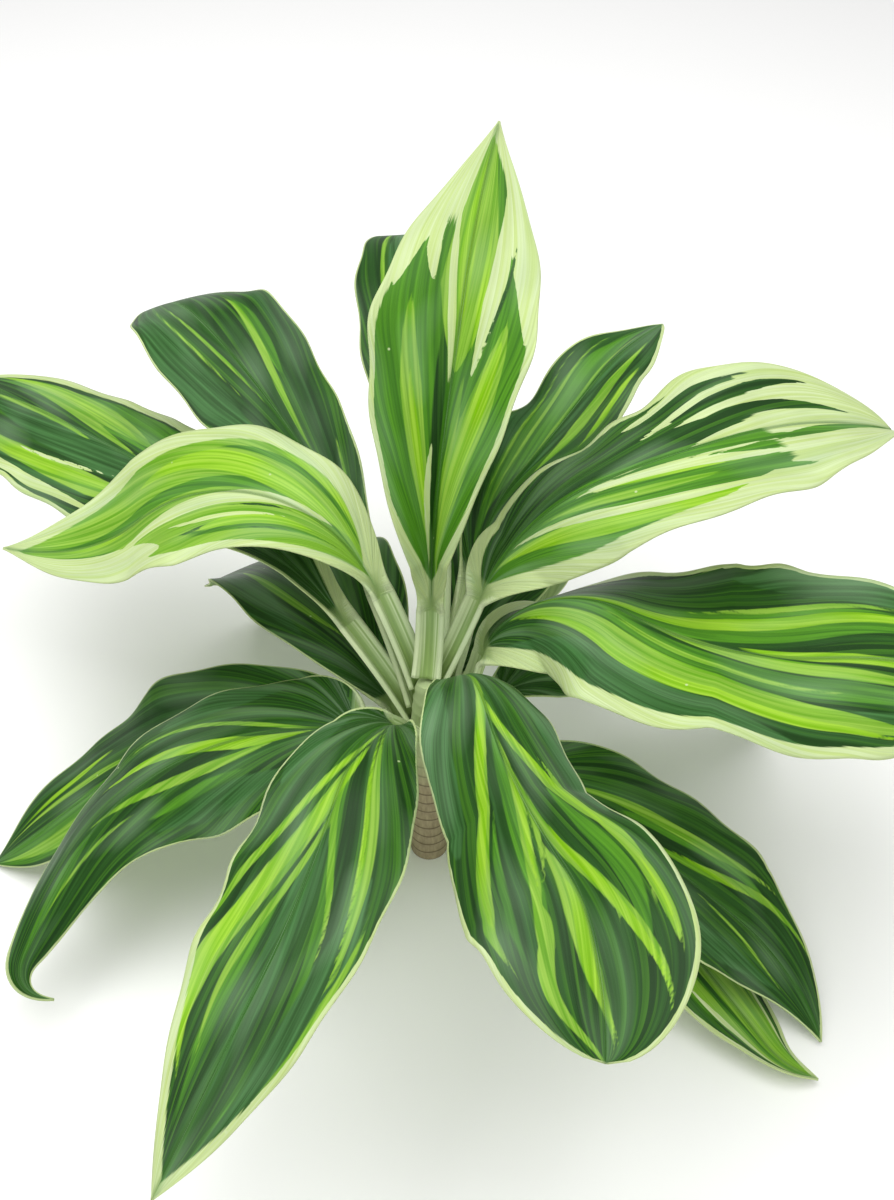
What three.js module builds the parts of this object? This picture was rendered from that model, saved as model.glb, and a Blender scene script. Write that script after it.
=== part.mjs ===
import * as THREE from 'three';

// A ti plant cut with a short length of its cane. Broad striped leaves spiral up the cane: the
// youngest rise, the older ones arch over, and the lowest droop until their tips rest on the
// surface, so that the plant stands on the cut end of the cane with the leaves as outriggers.
// Millimetres, +Z up. Angles are degrees; azimuth 0 points along +X and 90 along +Y.

const CANE_HEIGHT = 166;
const CANE_FOOT_RADIUS = 13;
const CANE_TOP_RADIUS = 6.5;
const CANE_SIDES = 24;
const CANE_TAPER_POWER = 4;
const NODE_SPACING = 9;
const SCAR_RELIEF = 0.6;

const PETIOLE_HALF_WIDTH = 6.5;
const PETIOLE_FLARE = 0.1;
const FLARE_LENGTH = 15;
const PETIOLE_THICKNESS = 3;
const BLADE_THICKNESS = 0.8;
const RIB_THICKNESS = 1.5;
const RIB_HALF_WIDTH = 3;
const RIB_FADE = 0.35;
const STALK_FADE = 0.06;
const TIP_HALF_WIDTH = 0.5;
const SEAT_GAP = 0.7;

// The shares of the blade at which a leaf's bending, its roll and its section are given.
const BEND_SHARES = [0, 1 / 3, 2 / 3, 1];
const ROLL_SHARES = [0, 0.5, 1];
const SECTION_SHARES = [0, 0.12, 0.5, 1];

const CELLS_ACROSS = 8;
const PETIOLE_RINGS = 4;
const BLADE_RINGS = 16;
const GROWTH_STEPS = 400;

const GREEN = 0x3f7a2c;
const PALE_GREEN = 0xa9cc62;
const CANE_BROWN = 0x8a7d5c;

const radians = THREE.MathUtils.degToRad;

// Each leaf: the azimuth and height at which its petiole leaves the cane, its lengths, and how
// it bends. Heading is read at the blade's base, at one third, at two thirds and at the tip,
// and rise at the cane as well. Roll is read at the blade's base, middle and tip. Lift is the angle of
// each half blade to the midrib and curl how much it bends on outwards, both read at 0, 0.12,
// 0.5 and 1 of the blade. Full holds the two powers of the blade's outline, hook turns the tip
// sideways from the stated share of the blade on, and wave holds the height of the edge's
// waves, their number, and where they start on the left and on the right edge.
const LEAVES = [
  { name: 'leaf_upright', from: 80, height: 169, petiole: 44, blade: 277, width: 100,
    full: [1.19, 1.11], hook: [0, 0.8], pale: true,
    heading: [85, 77, 78, 68], rise: [48, 78, 54, 46, 47], roll: [0, 0, 0],
    lift: [0, 58, 30, -17], curl: [50, 0, 0, 0], wave: [3, 2, 0, 0.3] },
  { name: 'leaf_upper_right', from: 32, height: 161, petiole: 62, blade: 298, width: 116,
    full: [0.75, 0.71], hook: [0, 0.8], pale: true,
    heading: [34, 12, 25, 17], rise: [60, 66, 20, -6, -25], roll: [1, -3, 4],
    lift: [0, -21, -4, 22], curl: [50, 0, 0, 0], wave: [6.36, 1.7, 0.09, 0.49] },
  { name: 'leaf_upper_left', from: 128, height: 158, petiole: 60, blade: 275, width: 115,
    full: [1.17, 1.1], hook: [0, 0.8], pale: true,
    heading: [134, 161, 184, 180], rise: [58, 53, 2, -42, 17], roll: [0, -5, 0],
    lift: [0, 12, 4, 9], curl: [50, 0, 0, 0], wave: [4, 1.05, 0.28, 0.43] },
  { name: 'leaf_far_left', from: 144, height: 127, petiole: 70, blade: 385, width: 122,
    full: [1.1, 0.7], hook: [0, 0.8], pale: false,
    heading: [137, 143, 140, 137], rise: [54, 32, 1, -6, -14], roll: [0, 0, 0],
    lift: [0, 30, -15, -10], curl: [50, 0, 0, 0], wave: [4, 2, 0, 0.3] },
  { name: 'leaf_back_left', from: 118, height: 137, petiole: 72, blade: 316, width: 94,
    full: [1.2, 0.7], hook: [0, 0.8], pale: false,
    heading: [116, 127, 128, 110], rise: [52, 28, 26, 9, -45], roll: [-10, -10, 0],
    lift: [0, 20, 5, 0], curl: [50, 0, 0, 0], wave: [6, 2.6, 0.4, 0.55] },
  { name: 'leaf_back', from: 80, height: 146, petiole: 80, blade: 308, width: 96,
    full: [1, 0.8], hook: [0, 0.8], pale: false,
    heading: [91, 92, 91, 90], rise: [46, 44, 36, 6, -60], roll: [0, 0, 0],
    lift: [0, 20, 5, 0], curl: [50, 0, 0, 0], wave: [4, 2, 0, 0.3] },
  { name: 'leaf_back_right', from: 56, height: 131, petiole: 80, blade: 238, width: 65,
    full: [1, 0.8], hook: [0, 0.8], pale: false,
    heading: [78, 50, 54, 42], rise: [57, 39, 17, 16, -4], roll: [0, 0, 0],
    lift: [0, 20, 0, 0], curl: [50, 0, 0, 0], wave: [6, 2.8, 0.1, 0.35] },
  { name: 'leaf_right', from: 15, height: 120, petiole: 65, blade: 329, width: 135,
    full: [0.68, 0.62], hook: [0, 0.8], pale: false,
    heading: [10, -28, -3, -15], rise: [61, 80, -13, 7, -18], roll: [0, -2, 24],
    lift: [0, -42, 1, -22], curl: [50, 0, 0, 0], wave: [7, 0.9, 2.7, 1.74] },
  { name: 'leaf_low_back_left', from: 135, height: 96, petiole: 30, blade: 305, width: 118,
    full: [0.75, 0.9], hook: [0, 0.8], pale: false,
    heading: [124, 121, 116, 112], rise: [50, 36, -6, -52, -82], roll: [0, 0, 0],
    lift: [0, 20, 0, 0], curl: [50, 0, 0, 0], wave: [6, 2.4, 0.2, 0.6] },
  { name: 'leaf_mid_back_right', from: 66, height: 113, petiole: 32, blade: 308, width: 96,
    full: [0.75, 0.9], hook: [0, 0.8], pale: false,
    heading: [62, 74, 72, 60], rise: [52, 42, -12, -64, -88], roll: [0, 0, 0],
    lift: [0, 20, 0, 0], curl: [50, 0, 0, 0], wave: [4, 2, 0, 0.3] },
  { name: 'leaf_low_left', from: 172, height: 105, petiole: 30, blade: 290, width: 100,
    full: [0.75, 0.9], hook: [0, 0.8], pale: false,
    heading: [168, 184, 194, 192], rise: [34, 12, -22, -38, -36], roll: [0, 0, 0],
    lift: [0, 20, 0, 0], curl: [50, 0, 0, 0], wave: [6, 2.4, 0.6, 0.2] },
  { name: 'leaf_curled_left', from: 195, height: 121, petiole: 30, blade: 301, width: 103,
    full: [0.45, 1.31], hook: [120, 0.86], pale: false,
    heading: [181, 197, 230, 254], rise: [24, 12, -14, -37, -31], roll: [0, 0, 0],
    lift: [0, 8, -24, -5], curl: [50, -20, -10, 0], wave: [7.52, 1.91, 2.11, -0.53] },
  { name: 'leaf_front_left', from: 230, height: 127, petiole: 33, blade: 305, width: 93,
    full: [0.8, 0.96], hook: [0, 0.8], pale: false,
    heading: [243, 256, 245, 247], rise: [62, 54, -10, -15, -13], roll: [0, 8, -2],
    lift: [0, 1, -2, -2], curl: [50, -20, -10, 0], wave: [5.94, 1.67, 0.22, 1.16] },
  { name: 'leaf_front_right', from: 308, height: 129, petiole: 62, blade: 274, width: 113,
    full: [1, 0.56], hook: [20, 0.75], pale: false,
    heading: [288, 281, 303, 244], rise: [58, 82, 2, -15, -31], roll: [-3, 7, -2],
    lift: [0, -3, -39, 16], curl: [50, -20, -10, 0], wave: [7.11, 0.8, -0.44, 2.03] },
  { name: 'leaf_lower_right', from: 338, height: 103, petiole: 34, blade: 266, width: 100,
    full: [0.75, 1.05], hook: [0, 0.8], pale: false,
    heading: [334, 336, 331, 290], rise: [40, -3, -26, -29, -33], roll: [0, 0, 0],
    lift: [0, 20, 13, -5], curl: [50, -20, -10, 0], wave: [5, 2, 0, 0.3] },
  { name: 'leaf_lowest_right', from: 322, height: 88, petiole: 30, blade: 266, width: 82,
    full: [0.75, 0.9], hook: [40, 0.84], pale: false,
    heading: [335, 332, 312, 298], rise: [30, -6, -33, -22, -2], roll: [0, -20, -20],
    lift: [0, -5, 0, 10], curl: [50, -20, -10, 0], wave: [5, 2, 0, 0.3] },
  { name: 'leaf_low_right', from: 28, height: 96, petiole: 46, blade: 290, width: 84,
    full: [0.75, 0.9], hook: [0, 0.8], pale: false,
    heading: [28, 22, 18, 16], rise: [52, 32, -14, -56, -70], roll: [0, 0, 0],
    lift: [0, -5, 0, 10], curl: [50, -20, -10, 0], wave: [5, 2, 0, 0.3] },
];

// The cane is thickest at the cut and narrows quickly where the youngest leaves crowd its top.
function caneRadius(height) {
  const share = THREE.MathUtils.clamp(height / CANE_HEIGHT, 0, 1);
  return CANE_FOOT_RADIUS - (CANE_FOOT_RADIUS - CANE_TOP_RADIUS) * share ** CANE_TAPER_POWER;
}

// Straight-line reading of values at places.
function ramp(places, values, at) {
  let k = 0;
  while (k < places.length - 2 && at > places[k + 1]) k += 1;
  const share = (at - places[k]) / (places[k + 1] - places[k]);
  return THREE.MathUtils.lerp(values[k], values[k + 1], THREE.MathUtils.clamp(share, 0, 1));
}

// The direction of the midrib at a length from the cane.
function midribDirection(leaf, length) {
  const along = [0];
  for (const place of BEND_SHARES) along.push(leaf.petiole + leaf.blade * place);
  const share = (length - leaf.petiole) / leaf.blade;
  const turn = leaf.hook[0] * THREE.MathUtils.smoothstep(share, leaf.hook[1], 1);
  const heading = radians(ramp(along, [leaf.from, ...leaf.heading], length) + turn);
  const rise = radians(ramp(along, leaf.rise, length));
  const tangent = new THREE.Vector3(
    Math.cos(rise) * Math.cos(heading), Math.cos(rise) * Math.sin(heading), Math.sin(rise));
  return { tangent, heading };
}

// The midrib grows from the cane in small steps along its own direction.
function growMidrib(leaf) {
  const total = leaf.petiole + leaf.blade;
  const step = total / GROWTH_STEPS;
  const seat = caneRadius(leaf.height) + SEAT_GAP;
  const reach = leaf.height > CANE_HEIGHT ? 0 : seat;
  const from = radians(leaf.from);
  const points = [new THREE.Vector3(reach * Math.cos(from), reach * Math.sin(from), leaf.height)];
  for (let k = 0; k < GROWTH_STEPS; k += 1) {
    const { tangent } = midribDirection(leaf, (k + 0.5) * step);
    points.push(points[k].clone().addScaledVector(tangent, step));
  }
  return (length) => {
    const k = Math.min(Math.floor(length / step), GROWTH_STEPS - 1);
    return points[k].clone().lerp(points[k + 1], length / step - k);
  };
}

// Half the width at a length from the cane: the petiole's, and the blade's outline over it.
function halfWidth(leaf, length, share) {
  const [rising, falling] = leaf.full;
  const peak = (rising / (rising + falling)) ** rising * (falling / (rising + falling)) ** falling;
  const blade = leaf.width / 2 * share ** rising * (1 - share) ** falling / peak;
  const flare = 1 + PETIOLE_FLARE * Math.exp(-length / FLARE_LENGTH);
  const fade = Math.sqrt(THREE.MathUtils.clamp((1 - share) / RIB_FADE, 0, 1));
  const stalk = PETIOLE_HALF_WIDTH * flare * fade;
  return Math.max(Math.hypot(blade, stalk), TIP_HALF_WIDTH);
}

function thickness(share, fromRib) {
  const stalk = THREE.MathUtils.clamp(1 - share / STALK_FADE, 0, 1);
  const rib = RIB_THICKNESS * Math.sqrt(1 - share) * Math.exp(-((fromRib / RIB_HALF_WIDTH) ** 2));
  return BLADE_THICKNESS + Math.max((PETIOLE_THICKNESS - BLADE_THICKNESS) * stalk, rib);
}

// One ring of the leaf: the points of its upper face and of its lower face, left to right.
function leafRing(leaf, midrib, length) {
  const share = THREE.MathUtils.clamp((length - leaf.petiole) / leaf.blade, 0, 1);
  const { tangent, heading } = midribDirection(leaf, length);
  const level = new THREE.Vector3(-Math.sin(heading), Math.cos(heading), 0);
  const facing = tangent.clone().cross(level).normalize();
  const roll = radians(ramp(ROLL_SHARES, leaf.roll, share));
  const left = level.clone().applyAxisAngle(tangent, roll);
  const up = facing.clone().applyAxisAngle(tangent, roll);
  const lift = radians(ramp(SECTION_SHARES, leaf.lift, share));
  const curl = radians(ramp(SECTION_SHARES, leaf.curl, share));
  const half = halfWidth(leaf, length, share);
  const [height, count, startLeft, startRight] = leaf.wave;
  const centre = midrib(length);
  const upper = [];
  const lower = [];
  for (let k = 0; k <= CELLS_ACROSS; k += 1) {
    const across = 1 - 2 * k / CELLS_ACROSS;
    const out = Math.abs(across);
    const bend = curl * out / 2;
    const chord = half * out * (Math.abs(bend) < 1e-6 ? 1 : Math.sin(bend) / bend);
    const side = Math.sign(across) * chord * Math.cos(lift + bend);
    const start = across > 0 ? startLeft : startRight;
    const swing = height * Math.sqrt(Math.sin(Math.PI * share)) * out ** 2;
    const wave = swing * Math.sin(2 * Math.PI * (count * share + start));
    const top = centre.clone().addScaledVector(left, side)
      .addScaledVector(up, chord * Math.sin(lift + bend) + wave);
    const angle = lift + curl * out;
    const normal = up.clone().multiplyScalar(Math.cos(angle))
      .addScaledVector(left, -Math.sign(across) * Math.sin(angle));
    upper.push(top);
    lower.push(top.clone().addScaledVector(normal, -thickness(share, half * out)));
  }
  return { upper, lower };
}

// Rings lie evenly on the petiole, and closer together towards both ends of the blade.
function ringLengths(leaf) {
  const lengths = [];
  for (let k = 0; k < PETIOLE_RINGS; k += 1) lengths.push(leaf.petiole * k / PETIOLE_RINGS);
  for (let k = 0; k <= BLADE_RINGS; k += 1) {
    const even = k / BLADE_RINGS;
    const eased = (1 - Math.cos(Math.PI * even)) / 2;
    lengths.push(leaf.petiole + leaf.blade * (even + eased) / 2);
  }
  return lengths;
}

// Petiole and blade are one closed solid: both faces share one grid, joined along the edges and
// closed at the cane and at the tip.
function leafGeometry(leaf) {
  const midrib = growMidrib(leaf);
  const rings = ringLengths(leaf).map((length) => leafRing(leaf, midrib, length));
  const positions = [];
  for (const { upper, lower } of rings) {
    for (const point of [...upper, ...lower]) positions.push(point.x, point.y, point.z);
  }
  const columns = CELLS_ACROSS + 1;
  const top = (ring, k) => ring * 2 * columns + k;
  const under = (ring, k) => top(ring, k) + columns;
  const indices = [];
  const quad = (a, b, c, d) => indices.push(a, b, c, a, c, d);
  const last = rings.length - 1;
  for (let ring = 0; ring < last; ring += 1) {
    const next = ring + 1;
    for (let k = 0; k < CELLS_ACROSS; k += 1) {
      quad(top(ring, k), top(ring, k + 1), top(next, k + 1), top(next, k));
      indices.push(under(ring, k), under(next, k + 1), under(ring, k + 1));
      indices.push(under(ring, k), under(next, k), under(next, k + 1));
    }
    quad(top(ring, 0), top(next, 0), under(next, 0), under(ring, 0));
    const edge = CELLS_ACROSS;
    quad(top(ring, edge), under(ring, edge), under(next, edge), top(next, edge));
  }
  for (let k = 0; k < CELLS_ACROSS; k += 1) {
    quad(top(0, k), under(0, k), under(0, k + 1), top(0, k + 1));
    quad(top(last, k), top(last, k + 1), under(last, k + 1), under(last, k));
  }
  const geometry = new THREE.BufferGeometry();
  geometry.setAttribute('position', new THREE.Float32BufferAttribute(positions, 3));
  geometry.setIndex(indices);
  geometry.computeVertexNormals();
  return geometry;
}

// The cane is ringed by the scars of fallen leaves, with a shallow hollow between two scars.
function caneGeometry() {
  const outline = [new THREE.Vector2(0, 0)];
  for (let scar = 0; scar < CANE_HEIGHT; scar += NODE_SPACING) {
    const next = Math.min(scar + NODE_SPACING, CANE_HEIGHT);
    const hollow = (scar + next) / 2;
    outline.push(new THREE.Vector2(caneRadius(scar), scar));
    outline.push(new THREE.Vector2(caneRadius(hollow) - SCAR_RELIEF, hollow));
  }
  outline.push(new THREE.Vector2(caneRadius(CANE_HEIGHT), CANE_HEIGHT));
  outline.push(new THREE.Vector2(0, CANE_HEIGHT));
  const geometry = new THREE.LatheGeometry(outline, CANE_SIDES);
  geometry.rotateX(Math.PI / 2);
  return geometry;
}

function piece(name, geometry, color, roughness) {
  const material = new THREE.MeshStandardMaterial({ color, roughness, metalness: 0 });
  const mesh = new THREE.Mesh(geometry, material);
  mesh.name = name;
  return mesh;
}

const plant = new THREE.Group();
plant.add(piece('cane', caneGeometry(), CANE_BROWN, 0.9));
for (const leaf of LEAVES) {
  plant.add(piece(leaf.name, leafGeometry(leaf), leaf.pale ? PALE_GREEN : GREEN, 0.45));
}

// The origin is below the middle of the whole plant, on the surface that it stands on.
const extent = new THREE.Box3().setFromObject(plant);
const middle = extent.getCenter(new THREE.Vector3());
plant.position.set(-middle.x, -middle.y, -extent.min.z);

export default plant;
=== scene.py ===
import math

import bpy
import numpy as np
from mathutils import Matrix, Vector


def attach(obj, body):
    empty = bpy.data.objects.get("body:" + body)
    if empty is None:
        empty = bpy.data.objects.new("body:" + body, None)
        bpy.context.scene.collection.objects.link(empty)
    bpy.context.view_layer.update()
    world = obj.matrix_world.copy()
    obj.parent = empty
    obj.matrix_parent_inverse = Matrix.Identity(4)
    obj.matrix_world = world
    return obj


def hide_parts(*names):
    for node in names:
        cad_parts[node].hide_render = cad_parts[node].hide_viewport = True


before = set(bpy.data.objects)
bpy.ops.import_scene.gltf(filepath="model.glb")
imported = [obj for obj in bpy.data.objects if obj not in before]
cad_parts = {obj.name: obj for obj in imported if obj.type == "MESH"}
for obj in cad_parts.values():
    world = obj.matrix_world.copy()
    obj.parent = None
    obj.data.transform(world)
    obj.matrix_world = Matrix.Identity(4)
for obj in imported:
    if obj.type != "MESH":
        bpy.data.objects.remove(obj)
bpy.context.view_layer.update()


# The cane is one woody stem, cut straight across at its foot and bare up to the leaves. It is
# ringed by the scars that fallen leaves left, about 9 mm apart, in dry grey-brown bark that
# turns green towards the soft growing tip.
MM = 0.001
PLANT_SHIFT_MM = (8.2, -17.4, 0.0)

CANE_HEIGHT = 166
CANE_FOOT_RADIUS = 13
CANE_TOP_RADIUS = 6.5
CANE_TAPER_POWER = 4
CANE_SIDES = 64
CANE_CELL = 1.5
CANE_SMOOTH_DEGREES = 40
NODE_SPACING = 9
SCAR_RELIEF = 0.6
SCAR_SHARPNESS = 6
SCAR_TILT = 0.5
SCAR_WINDING = 0.11
CUT_EDGE = 0.1
CUT_ROUNDING = 0.5
# Each swelling's height, how many lie round the cane, and how fast they wind up it.
CANE_SWELLINGS = ((0.15, 3, 0.21), (0.1, 5, -0.13))

BARK_DARK = "75684c"
BARK_PALE = "bdb08c"
BARK_SCAR = "5e5038"
BARK_GREEN = "a9bb86"
BARK_GREEN_FROM = 78
BARK_GREEN_FULL = 122
BARK_ROUGHNESS = 0.8
BARK_RELIEF = 0.4
BARK_BUMP_STRENGTH = 0.5
# How often the grain repeats in a millimetre round and up the cane. Cork grain is finer, and is
# drawn this coarse so that it shows.
BARK_GRAIN = (0.6, 0.6, 0.15)
BARK_GRAIN_DETAIL = 6
# From where to where a scar's dark line fades, in shares of the spacing, and how strong it is.
SCAR_LINE = (0.02, 0.12, 0.8)


def linear(hex_colour):
    """The linear RGBA of an sRGB hex colour."""
    values = []
    for k in (0, 2, 4):
        c = int(hex_colour[k:k + 2], 16) / 255
        values.append(c / 12.92 if c <= 0.04045 else ((c + 0.055) / 1.055) ** 2.4)
    return (*values, 1.0)


def new_material(name):
    """A material with its node tree and its shader."""
    material = bpy.data.materials.new(name)
    material.use_nodes = True
    tree = material.node_tree
    return material, tree, tree.nodes["Principled BSDF"]


def node(tree, kind, inputs=None, out=0, **settings):
    """Adds a node with its settings and links, and gives back one of its outputs."""
    made = tree.nodes.new(kind)
    for key, value in settings.items():
        setattr(made, key, value)
    for key, value in (inputs or {}).items():
        if isinstance(value, bpy.types.NodeSocket):
            tree.links.new(value, made.inputs[key])
        else:
            made.inputs[key].default_value = value
    return made.outputs[out]


def cane_radius(height):
    """The cane's radius without its scars and swellings."""
    share = np.clip(height / CANE_HEIGHT, 0, 1)
    return CANE_FOOT_RADIUS - (CANE_FOOT_RADIUS - CANE_TOP_RADIUS) * share ** CANE_TAPER_POWER


def place(points):
    """Points in the cane's own millimetres, as metres in the shared frame."""
    return (np.asarray(points) + np.array(PLANT_SHIFT_MM)) * MM


def build_cane():
    """A disc extruded ring by ring, whose rings are then set in at each scar."""
    bpy.ops.object.select_all(action="DESELECT")
    bpy.ops.mesh.primitive_circle_add(
        vertices=CANE_SIDES, radius=CANE_FOOT_RADIUS * MM, fill_type="NGON")
    cane = bpy.context.object
    cane.name = "cane_bark"
    rings = round(CANE_HEIGHT / CANE_CELL)
    bpy.ops.object.mode_set(mode="EDIT")
    bpy.ops.mesh.select_all(action="SELECT")
    for _ in range(rings):
        bpy.ops.mesh.extrude_region_move(
            TRANSFORM_OT_translate={"value": (0, 0, CANE_HEIGHT / rings * MM)})
    bpy.ops.mesh.select_all(action="SELECT")
    bpy.ops.mesh.normals_make_consistent(inside=False)
    bpy.ops.object.mode_set(mode="OBJECT")

    flat = np.empty(len(cane.data.vertices) * 3)
    cane.data.vertices.foreach_get("co", flat)
    points = flat.reshape(-1, 3) / MM
    height = points[:, 2].copy()
    turn = np.arctan2(points[:, 1], points[:, 0])
    tilt = SCAR_TILT * np.sin(turn + height * SCAR_WINDING)
    phase = ((height + tilt) / NODE_SPACING) % 1
    from_scar = np.minimum(phase, 1 - phase) * 2
    hollow = SCAR_RELIEF * (1 - np.exp(-SCAR_SHARPNESS * from_scar))
    uneven = sum(size * np.sin(lobes * turn + height * winding)
                 for size, lobes, winding in CANE_SWELLINGS)
    radius = cane_radius(height) - hollow + uneven * (height > CUT_EDGE)
    ends = (height < CUT_EDGE) | (height > CANE_HEIGHT - CUT_EDGE)
    radius[ends] -= CUT_ROUNDING
    points[:, 0] = radius * np.cos(turn)
    points[:, 1] = radius * np.sin(turn)
    cane.data.vertices.foreach_set("co", place(points).ravel())
    cane.data.update()
    bpy.ops.object.shade_smooth_by_angle(angle=math.radians(CANE_SMOOTH_DEGREES))
    return cane


def bark_material():
    # Dry ti cane bark looks dull and corky: fawn with darker grain that runs up the stem, a
    # dark line at each leaf scar, and a green skin on the young wood below the crown.
    material, tree, shader = new_material("dry ti cane bark")
    where = node(tree, "ShaderNodeTexCoord", out="Object")
    millimetres = node(tree, "ShaderNodeVectorMath", {0: where, 1: (1 / MM,) * 3},
                       operation="MULTIPLY")
    height = node(tree, "ShaderNodeSeparateXYZ", {0: millimetres}, "Z")
    grain_at = node(tree, "ShaderNodeVectorMath", {0: millimetres, 1: BARK_GRAIN},
                    operation="MULTIPLY")
    grain = node(tree, "ShaderNodeTexNoise",
                 {"Vector": grain_at, "Scale": 1, "Detail": BARK_GRAIN_DETAIL}, "Fac")

    # How far each height lies from the nearest scar, in shares of the spacing.
    turns = node(tree, "ShaderNodeMath", {0: height, 1: 1 / NODE_SPACING, 2: 0.5},
                 operation="MULTIPLY_ADD")
    within = node(tree, "ShaderNodeMath", {0: turns}, operation="FRACT")
    off = node(tree, "ShaderNodeMath", {0: within, 1: 0.5}, operation="SUBTRACT")
    away = node(tree, "ShaderNodeMath", {0: off}, operation="ABSOLUTE")
    near, far, strength = SCAR_LINE
    scar = node(tree, "ShaderNodeMapRange", {"Value": away, "From Min": near, "From Max": far,
                                             "To Min": strength, "To Max": 0})
    young = node(tree, "ShaderNodeMapRange", {"Value": height, "From Min": BARK_GREEN_FROM,
                                              "From Max": BARK_GREEN_FULL})
    colour = linear(BARK_DARK)
    for cover, over in ((grain, BARK_PALE), (scar, BARK_SCAR), (young, BARK_GREEN)):
        colour = node(tree, "ShaderNodeMix", {"Factor": cover, "A": colour, "B": linear(over)},
                      "Result", data_type="RGBA")
    tree.links.new(colour, shader.inputs["Base Color"])
    shader.inputs["Roughness"].default_value = BARK_ROUGHNESS
    bump = node(tree, "ShaderNodeBump", {"Height": grain, "Strength": BARK_BUMP_STRENGTH,
                                         "Distance": BARK_RELIEF * MM})
    tree.links.new(bump, shader.inputs["Normal"])
    return material


cane = build_cane()
cane.data.materials.append(bark_material())
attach(cane, "root")
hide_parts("cane")


# The leaves are one blade each on a channelled petiole, of smooth, satin, leathery green tissue
# with fine parallel veins that run from the midrib out to the pale margin. They spiral up the
# cane, whose top they clasp, and are striped with lime, grey-green and cream. The grey-green
# stripes are partly the leaf's own tone and partly painted sheen.
PETIOLE_HALF_WIDTH = 6.5
PETIOLE_THICKNESS = 3
PETIOLE_FLARE = 0.1
FLARE_LENGTH = 15
BLADE_THICKNESS = 0.8
RIB_THICKNESS = 1.5
RIB_HALF_WIDTH = 3
RIB_FADE = 0.35
TIP_HALF_WIDTH = 0.5
SEAT_GAP = 0.7

# The steps in which a midrib grows, and the shares of the blade at which a row gives heading
# and rise, roll, and lift and curl.
GROWTH_STEPS = 400
BEND_SHARES = (0, 1 / 3, 2 / 3, 1)
ROLL_SHARES = (0, 0.5, 1)
SECTION_SHARES = (0, 0.12, 0.5, 1)

# The mesh, whose columns crowd towards the midrib.
ROWS_ALONG = 150
COLUMNS_ACROSS = 56
COLUMN_CROWDING = 1.15

# Over which share of the blade the petiole turns into it, how far its edges rise over its
# channel, and at how many of its own lengths its colour ends.
STALK_FADE = 0.06
STALK_CHANNEL = 2
STALK_COLOUR_END = 1.2

# The groove over the midrib, in millimetres.
GROOVE_DEPTH = 0.6
GROOVE_HALF_WIDTH = 1.6

# Waves bend the whole half of a blade. Ripples keep to its edge, drift in height, and draw it
# in a little here and there.
WAVE_POWER = 2
RIPPLE_HEIGHT = 2
RIPPLE_LENGTH = 62
RIPPLE_POWER = 4
RIPPLE_START = 3
RIPPLE_DRIFT = 0.4
RIPPLE_DRIFT_PACE = 0.37
RIPPLE_PINCH = 0.05
PINCH_PACE = 0.6
PINCH_START = 2

# How the veins leave the midrib and lean towards the tip. They run straight in the petiole.
VEIN_SPREAD = 0.25
VEIN_START = 0.004
VEIN_LIMIT = 6
VEIN_LEAN = 0.7
VEIN_OFFSET = 2
STALK_STRAIGHT = 8

# How a stripe ends, swells and curves, and which of its ends are open. One that is wider than
# the blunt width keeps its width up to its end.
STRIPE_POINT = 0.06
STRIPE_TAPER = 0.35
STRIPE_SWELL = 0.7
STRIPE_BENDS = 3
BLUNT_WIDTH = 0.7
OPEN_BASE = 0.01
OPEN_TIP = 0.99
FIELD_LIMIT = 6.0
# Where a row gives the width of a margin. A broad one, in millimetres, is more ragged.
MARGIN_SHARES = (0, 0.25, 0.5, 0.75, 1)
MARGIN_BROAD = 4
MARGIN_RAGGED = 0.35

# How far each tone's edge wanders along the veins, and how soft it is, in millimetres. One that
# wanders far does so in wider jags.
TONES = {
    "mid": (1.2, 0.5), "grey": (1.6, 0.8), "lime": (0.6, 0.38), "bright": (0.5, 0.42),
    "cream": (0.6, 0.14),
}
WIDE_REACH = 1
# Each noise's scale across and along the veins in millimetres, and its detail. The fine veins
# are really about half a millimetre apart, and are drawn twice as coarse so that they show.
VEIN_NOISES = {
    "band": (7, 220, 2), "green band": (5, 300, 2), "grey band": (8, 260, 2),
    "shade": (3.2, 120, 2), "fibre": (1.1, 160, 2), "blotch": (22, 45, 3),
    "fine jag": (1.5, 60, 3), "wide jag": (3.5, 90, 3), "pucker": (18, 34, 1),
    # The next noise places the patches of painted sheen.
    "painted sheen": (30, 85, 1), "stalk": (1.6, 160, 2),
}
NOISE_STEP = (7.3, 4.1, 1)
# The bands that every leaf has: the noise, the tone, and between which values it sets in. The
# grey band is partly painted sheen.
VEIN_BANDS = (("green band", "mid", 0.52, 0.58), ("grey band", "grey", 0.54, 0.64))
BAND_STRENGTH = 0.45
# Where in its noise a colour turns into its pale one.
GROUND_RANGE = (0.42, 0.6)
SHADE_RANGE = (0.38, 0.62)
# How much darker and lighter the fine veins and the blotches make the colour.
LIGHT_SWINGS = {"fibre": (0.9, 1.08), "blotch": (0.92, 1.08)}
LIGHT_RANGE = (0.3, 0.7)
# From where to where a line fades, in millimetres, and how strong it is.
RIB_LINE = (0.6, 2.2, 0.5)
MARGIN_LINE = (0.5, 1.2, 0.9)
# How far in the petiole's pale edge turns green, with the reach of its streaks.
STALK_STREAKS = 12
STALK_PALE_EDGE = 7.6
STALK_GREEN_FROM = 10
# The spacing and size of the pale flecks, in millimetres.
FLECK_SPACING = 26
FLECK_SIZE = 0.5
FLECK_STRENGTH = 0.8
# How strong the painted sheen patches are, and where in their noise they set in.
PAINTED_SHEEN_STRENGTH = 0.3
PAINTED_SHEEN_RANGE = (0.48, 0.74)
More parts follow.
